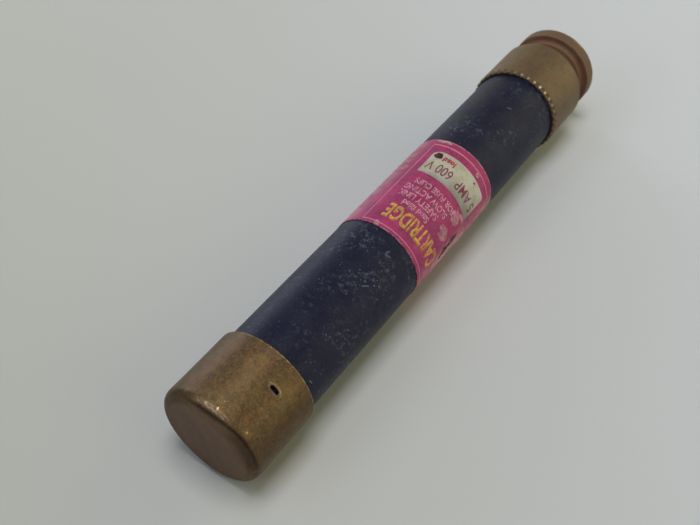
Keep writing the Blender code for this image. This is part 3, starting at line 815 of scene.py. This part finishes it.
def build_label():
    """One sheet wrapped once round the tube, its end lapped over its start."""
    rows, columns = 96, 560
    turn = np.linspace(0, 2 * math.pi + LABEL_OVERLAP, columns)
    share = np.linspace(0, 1, rows)
    turns, shares = np.meshgrid(turn, share)
    lap = ramp(turns, 2 * math.pi - 0.10, 2 * math.pi + 0.02)
    radii = LABEL_RADIUS - LABEL_INSET + lap * (LABEL_THICKNESS + 0.02 * MM)
    angles = turns + LABEL_SEAM_ANGLE
    stations = LABEL_START + (LABEL_END - LABEL_START) * shares
    edge = np.abs(2 * shares - 1) ** 12 * np.sign(2 * shares - 1)
    points = around(angles, radii, stations)
    stations = stations - edge * (0.04 + 0.05 * np.abs(rough(points, 2.5 * MM, 8.0))) * MM
    points = around(angles, radii, stations).reshape(-1, 3).tolist()
    faces = [(i * columns + j, i * columns + j + 1, (i + 1) * columns + j + 1, (i + 1) * columns + j)
             for i in range(rows - 1) for j in range(columns - 1)]
    mesh = bpy.data.meshes.new("paper_label_sheet")
    mesh.from_pydata(points, [], faces)
    close_normals(mesh)
    piece = new_piece("paper_label_sheet", mesh, label_material(), nodes=["paper_label"])
    thicken(piece, LABEL_THICKNESS, 0.0)


def wrapped(name, flat, material, station, angle, lift=0.004 * MM):
    """Lays a flat mesh on the label. Its +X runs backwards round the fuse, its +Y towards -X."""
    shape = bmesh.new()
    shape.from_mesh(flat)
    bmesh.ops.triangulate(shape, faces=shape.faces)
    low = min(v.co.x for v in shape.verts)
    high = max(v.co.x for v in shape.verts)
    step = 0.35 * MM
    for i in range(1, math.ceil((high - low) / step)):
        everything = shape.verts[:] + shape.edges[:] + shape.faces[:]
        bmesh.ops.bisect_plane(shape, geom=everything, plane_co=(low + i * step, 0, 0),
                               plane_no=(1, 0, 0))
    bmesh.ops.remove_doubles(shape, verts=shape.verts, dist=1e-7)
    surface = LABEL_RADIUS - LABEL_INSET + LABEL_THICKNESS / 2 + lift
    for vert in shape.verts:
        turned = angle - vert.co.x / LABEL_RADIUS
        vert.co = around(turned, surface, station - vert.co.y)
    bmesh.ops.recalc_face_normals(shape, faces=shape.faces)
    outward = sum((f.normal.dot(f.calc_center_median() - Vector((station, 0, 0))) for f in shape.faces))
    if outward < 0:
        bmesh.ops.reverse_faces(shape, faces=shape.faces)
    piece = new_piece(name, mesh_from(shape, name), material)
    thicken(piece, INK_THICKNESS, 1.0)


def flat_text(lines, size, spacing=1.0, width=1.0, weight=0.0):
    """A flat mesh of text lines: (text, x, y, scale), x and y in metres."""
    shape = bmesh.new()
    for text, x, y, scale in lines:
        curve = bpy.data.curves.new("text", "FONT")
        curve.body = text
        curve.size = size * scale
        curve.space_character = spacing
        curve.resolution_u = 4
        curve.offset = weight
        holder = new_object("text", curve)
        mesh = evaluated_mesh(holder)
        mesh.transform(Matrix.Translation((x, y, 0)) @ Matrix.Diagonal((width, 1, 1, 1)))
        shape.from_mesh(mesh)
        bpy.data.objects.remove(holder)
    return mesh_from(shape, "text")


def flat_outline(loops):
    """A flat mesh from closed outlines of (x, y) points; an outline inside another is a hole."""
    curve = bpy.data.curves.new("outline", "CURVE")
    curve.dimensions = "2D"
    curve.fill_mode = "BOTH"
    for loop in loops:
        spline = curve.splines.new("POLY")
        spline.points.add(len(loop) - 1)
        for point, (x, y) in zip(spline.points, loop):
            point.co = (x, y, 0, 1)
        spline.use_cyclic_u = True
    holder = new_object("outline", curve)
    flat = evaluated_mesh(holder)
    bpy.data.objects.remove(holder)
    return flat


def box_loop(x0, y0, x1, y1):
    return [(x0, y0), (x1, y0), (x1, y1), (x0, y1)]


def build_print():
    """Generic print only: a type word, a few plain lines, a rating and a smudged mark."""
    yellow = print_material("print_yellow", srgb(226, 184, 74), 0.95, 0.40, 0.52, srgb(206, 152, 70))
    white = print_material("print_white", srgb(226, 176, 190), 0.9, 0.42, 0.54)
    cream = print_material("print_cream", srgb(204, 202, 188), 1.0, 0.30, 0.40, srgb(190, 184, 164))
    maroon = print_material("print_maroon", srgb(128, 66, 78), 0.92, 0.38, 0.50)
    side_ink = print_material("print_side_ink", srgb(226, 176, 150), 0.9, 0.44, 0.56)
    black = print_material("print_black", srgb(34, 34, 30), 1.0, 0.38, 0.48)
    pink = print_material("print_line", srgb(220, 120, 154), 0.95, 0.36, 0.50)

    # Frame lines: flat x is arc length against the angle, flat y is distance towards -X.
    half = 0.14 * MM
    start_arc, end_arc = -22.3, 150.0
    length = math.radians(end_arc - start_arc) * LABEL_RADIUS
    near, far = -13.05 * MM, 12.75 * MM
    outer = box_loop(-half, -2 * half, length + half, far - near + half)
    inner = box_loop(half, half, length - half, far - near - half)
    wrapped("label_frame_line", flat_outline([outer, inner]), pink, far, math.radians(end_arc))

    # Rating panel with clipped corners.
    panel_length = math.radians(91.0) * LABEL_RADIUS
    panel_width = 7.35 * MM
    panel = [(0, 0.5 * MM), (0.4 * MM, 0), (panel_length - 1.2 * MM, 0), (panel_length, 0.9 * MM),
             (panel_length, panel_width), (0, panel_width)]
    wrapped("label_panel", flat_outline([panel]), cream, 10.95 * MM, math.radians(78.5))
    rating = flat_text([("5 AMP  600 V", 0, 0, 1.0)], 3.75 * MM, 1.02, 0.65, 0.03 * MM)
    wrapped("print_rating", rating, maroon, 7.6 * MM, math.radians(75.0), 0.014 * MM)
    blot = [((0.92 + 0.12 * math.sin(3 * t) + 0.07 * math.cos(7 * t)) * MM * math.cos(t),
             (1.02 + 0.12 * math.cos(2 * t) + 0.06 * math.sin(5 * t)) * MM * math.sin(t))
            for t in (2 * math.pi * i / 28 for i in range(28))]
    speck = [(x * 0.30 - math.radians(56.0) * LABEL_RADIUS, y * 0.24 - 0.5 * MM) for x, y in blot]
    wrapped("print_blot", flat_outline([blot, speck]), black, 9.6 * MM, math.radians(-4.2), 0.014 * MM)
    red = print_material("print_red", srgb(190, 52, 84), 0.95, 0.38, 0.46)
    small = flat_text([("load", 0, 0, 1.0)], 1.9 * MM, 1.1, 0.82, 0.10 * MM)
    wrapped("print_red_word", small, red, 9.9 * MM, math.radians(20.5), 0.014 * MM)

    title = flat_text([("CARTRIDGE", 0, 0, 1.0)], 5.4 * MM, 1.05, 0.51, 0.20 * MM)
    wrapped("print_title", title, yellow, -7.25 * MM, math.radians(86.0))
    lines = flat_text([
        ("Sand filled", 5.6 * MM, 0, 1.0),
        ("SAFETY LINK", 4.6 * MM, -2.25 * MM, 1.05),
        ("SLOW ACTING", 3.4 * MM, -4.35 * MM, 1.0),
        ("FOR FUSE CLIPS", 2.6 * MM, -6.6 * MM, 0.96),
    ], 2.2 * MM, 1.0, 0.72, 0.05 * MM)
    wrapped("print_small_lines", lines, white, -4.95 * MM, math.radians(74.0))
    side = flat_text([
        ("REPLACE ONLY WITH", 0, 0, 1.0),
        ("THE SAME SIZE", 0.6 * MM, -2.3 * MM, 1.0),
        ("AND TYPE", 1.4 * MM, -4.6 * MM, 1.0),
    ], 2.0 * MM, 1.0, 0.60, 0.02 * MM)
    wrapped("print_side_lines", side, side_ink, 5.0 * MM, math.radians(-29.0))


# ---------------------------------------------------------------- inside pieces

def coil_mesh(name, node, turns, tail):
    """A round wire wound in the CAD node's room, each end drawn in to the axis over tail turns."""
    wire = COIL_WIRE
    low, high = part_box(node)
    start, end, radius = low.x + wire, high.x - wire, high.z - wire
    steps, sides = 28, 12
    count = int(turns * steps) + 1
    turn = np.arange(count) * 2 * math.pi / steps
    share = turn / turn[-1]
    pull = ramp(np.minimum(share, 1 - share) * turns, 0, tail)
    path = around(turn, radius * (0.8 + 0.2 * pull), start + (end - start) * share)
    along = np.gradient(path, axis=0)
    along /= np.linalg.norm(along, axis=1)[:, None]
    outward = around(turn, 1.0, np.zeros(count))
    side = np.cross(along, outward)
    side /= np.linalg.norm(side, axis=1)[:, None]
    outward = np.cross(side, along)
    around_wire = np.arange(sides) * 2 * math.pi / sides
    ring = (np.cos(around_wire)[None, :, None] * outward[:, None, :]
            + np.sin(around_wire)[None, :, None] * side[:, None, :])
    points = (path[:, None, :] + wire * ring).reshape(-1, 3).tolist()
    faces = [(i * sides + j, i * sides + (j + 1) % sides, (i + 1) * sides + (j + 1) % sides,
              (i + 1) * sides + j) for i in range(count - 1) for j in range(sides)]
    faces += [tuple(range(sides)), tuple((count - 1) * sides + j for j in range(sides))]
    mesh = bpy.data.meshes.new(name)
    mesh.from_pydata(points, [], faces)
    close_normals(mesh)
    return mesh


def build_inside():
    steel = grainy_material("spring_steel", srgb(186, 186, 190), srgb(120, 120, 124), 3.0, 0.32, 1.0)
    mesh = coil_mesh("trigger_spring_wire", "trigger_spring", SPRING_TURNS, 1.0)
    spring = new_piece("trigger_spring_wire", mesh, steel, nodes=["trigger_spring"])
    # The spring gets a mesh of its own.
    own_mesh(spring)

    resistance = grainy_material("resistance_wire", srgb(150, 142, 132), srgb(96, 88, 80), 4.0, 0.38, 1.0)
    mesh = coil_mesh("heater_coil_wire", "heater_coil", HEATER_TURNS, 0.6)
    new_piece("heater_coil_wire", mesh, resistance, nodes=["heater_coil"])

    fibre = grainy_material("vulcan_fibre", srgb(168, 142, 112), srgb(128, 100, 74), 1.6, 0.75)
    copper = grainy_material("copper", srgb(204, 136, 104), srgb(158, 92, 66), 2.0, 0.36, 1.0)
    brass = grainy_material("bright_brass", srgb(204, 174, 112), srgb(164, 132, 76), 2.0, 0.34, 1.0)
    solder = grainy_material("solder", srgb(186, 186, 190), srgb(132, 132, 136), 1.4, 0.40, 1.0)
    sand = grainy_material("silica_sand", srgb(214, 204, 182), srgb(150, 136, 110), 2.2, 0.9, 0.0, 0.2 * MM)
    finishes = {"vulcan_fibre": fibre, "copper": copper, "bright_brass": brass, "solder": solder,
                "silica_sand": sand}
    for entry in frame["record"]["subparts"]:
        node = frame["nodes"][entry["node"]]
        if entry["material_slot"] in finishes:
            node.data.materials.clear()
            node.data.materials.append(finishes[entry["material_slot"]])


# ---------------------------------------------------------------- stage, light and camera

# Painted light on the floor: it turns paler and bluer along one direction, over a span either side of the
# fuse's middle.
FLOOR_HALF = 1.25
PALER_X, PALER_Y = 0.781, -0.673
PALER_SPAN = 0.16


def build_stage():
    g = Graph("pale_floor")
    mottle = g.noise(g.here, 9.0, 3.0, 0.5)
    x, y, _ = g.split(g.here)
    # Painted light: the floor grows paler and bluer towards one side.
    aside = g.math("ADD", g.times(x, PALER_X), g.times(y, PALER_Y))
    colour = g.mix(g.band(aside, -PALER_SPAN, PALER_SPAN), srgb(207, 209, 201), srgb(231, 236, 248))
    colour = g.mix(g.times(mottle, 0.1), colour, srgb(190, 190, 186))
    material = g.finish(colour, 0.55, 0.0, g.bump(g.noise(g.here, 900.0, 3.0), 0.02 * MM, strength=0.3))
    shape = bmesh.new()
    bmesh.ops.create_grid(shape, x_segments=8, y_segments=8, size=FLOOR_HALF,
                          matrix=Matrix.Translation((0, 0, FLOOR)))
    mesh = mesh_from(shape, "floor")
    mesh.materials.append(material)
    new_object("floor", mesh)


def area_light(name, place, size, power, colour):
    light = bpy.data.lights.new(name, "AREA")
    light.shape = "SQUARE"
    light.size = size
    light.energy = power
    light.color = colour
    holder = new_object(name, light)
    holder.location = place
    holder.rotation_euler = (-Vector(place)).to_track_quat("-Z", "Y").to_euler()


# Strength of the room's own light, apart from how it looks to the camera.
ROOM_GLOW = 0.02
# Soft panels round the fuse: bearing from +X and height angle in degrees, distance, size, power.
CEILING = ((0.0, 90.0, 0.8, 0.35, 2.45),)
BACK_WALLS = (
    (65.2, 12.0, 1.6, 0.7, 6.0),
    (155.2, 30.0, 1.6, 0.7, 2.4),
    (125.2, 50.0, 1.6, 0.7, 1.7),
    (185.2, 70.0, 1.6, 0.7, 1.0),
)
FRONT_WALLS = (
    (-54.8, 12.0, 1.6, 0.7, 2.9),
    (-24.8, 12.0, 1.6, 0.7, 3.4),
    (5.2, 12.0, 1.6, 0.7, 3.6),
    (35.2, 12.0, 1.6, 0.7, 1.8),
    (-24.8, 30.0, 1.6, 0.7, 2.1),
    (-84.8, 30.0, 1.6, 0.7, 2.4),
)


def build_light():
    world = bpy.data.worlds.new("soft_room")
    world.use_nodes = True
    background = world.node_tree.nodes["Background"]
    background.inputs["Color"].default_value = opaque(srgb(176, 180, 178))
    # A pale room to look at, which adds next to no light of its own.
    seen = world.node_tree.nodes.new("ShaderNodeLightPath").outputs["Is Camera Ray"]
    strength = world.node_tree.nodes.new("ShaderNodeMapRange")
    strength.inputs["To Min"].default_value = ROOM_GLOW
    world.node_tree.links.new(seen, strength.inputs["Value"])
    world.node_tree.links.new(strength.outputs["Result"], background.inputs["Strength"])
    bpy.context.scene.world = world
    groups = (("ceiling", CEILING, (0.97, 0.955, 0.965)), ("back_wall", BACK_WALLS, (0.84, 0.90, 1.0)),
              ("front_wall", FRONT_WALLS, (1.0, 0.96, 0.62)))
    for name, panels, colour in groups:
        for index, (bearing, height, distance, size, power) in enumerate(panels):
            turn, rise = math.radians(bearing), math.radians(height)
            place = Vector((math.cos(turn) * math.cos(rise), math.sin(turn) * math.cos(rise),
                            math.sin(rise))) * distance
            area_light(f"{name}_{index}", place, size, power, colour)
    bpy.context.scene.view_settings.view_transform = "Standard"


def build_camera():
    data = bpy.data.cameras.new("camera")
    data.lens = CAMERA_LENS
    data.sensor_width = 36.0
    data.clip_start = 0.005
    data.dof.use_dof = True
    data.dof.focus_distance = CAMERA_FOCUS
    data.dof.aperture_fstop = CAMERA_STOP
    camera = new_object("camera", data)
    back = Vector((math.sin(CAMERA_AZIMUTH) * math.cos(CAMERA_ELEVATION),
                   -math.cos(CAMERA_AZIMUTH) * math.cos(CAMERA_ELEVATION),
                   math.sin(CAMERA_ELEVATION)))
    camera.location = CAMERA_PLACE
    camera.rotation_euler = (-back).to_track_quat("-Z", "Y").to_euler()
    bpy.context.scene.camera = camera


build_plain_ferrule()
build_reject_ferrule()
build_tube()
build_label()
build_print()
build_inside()
build_stage()
build_light()
build_camera()
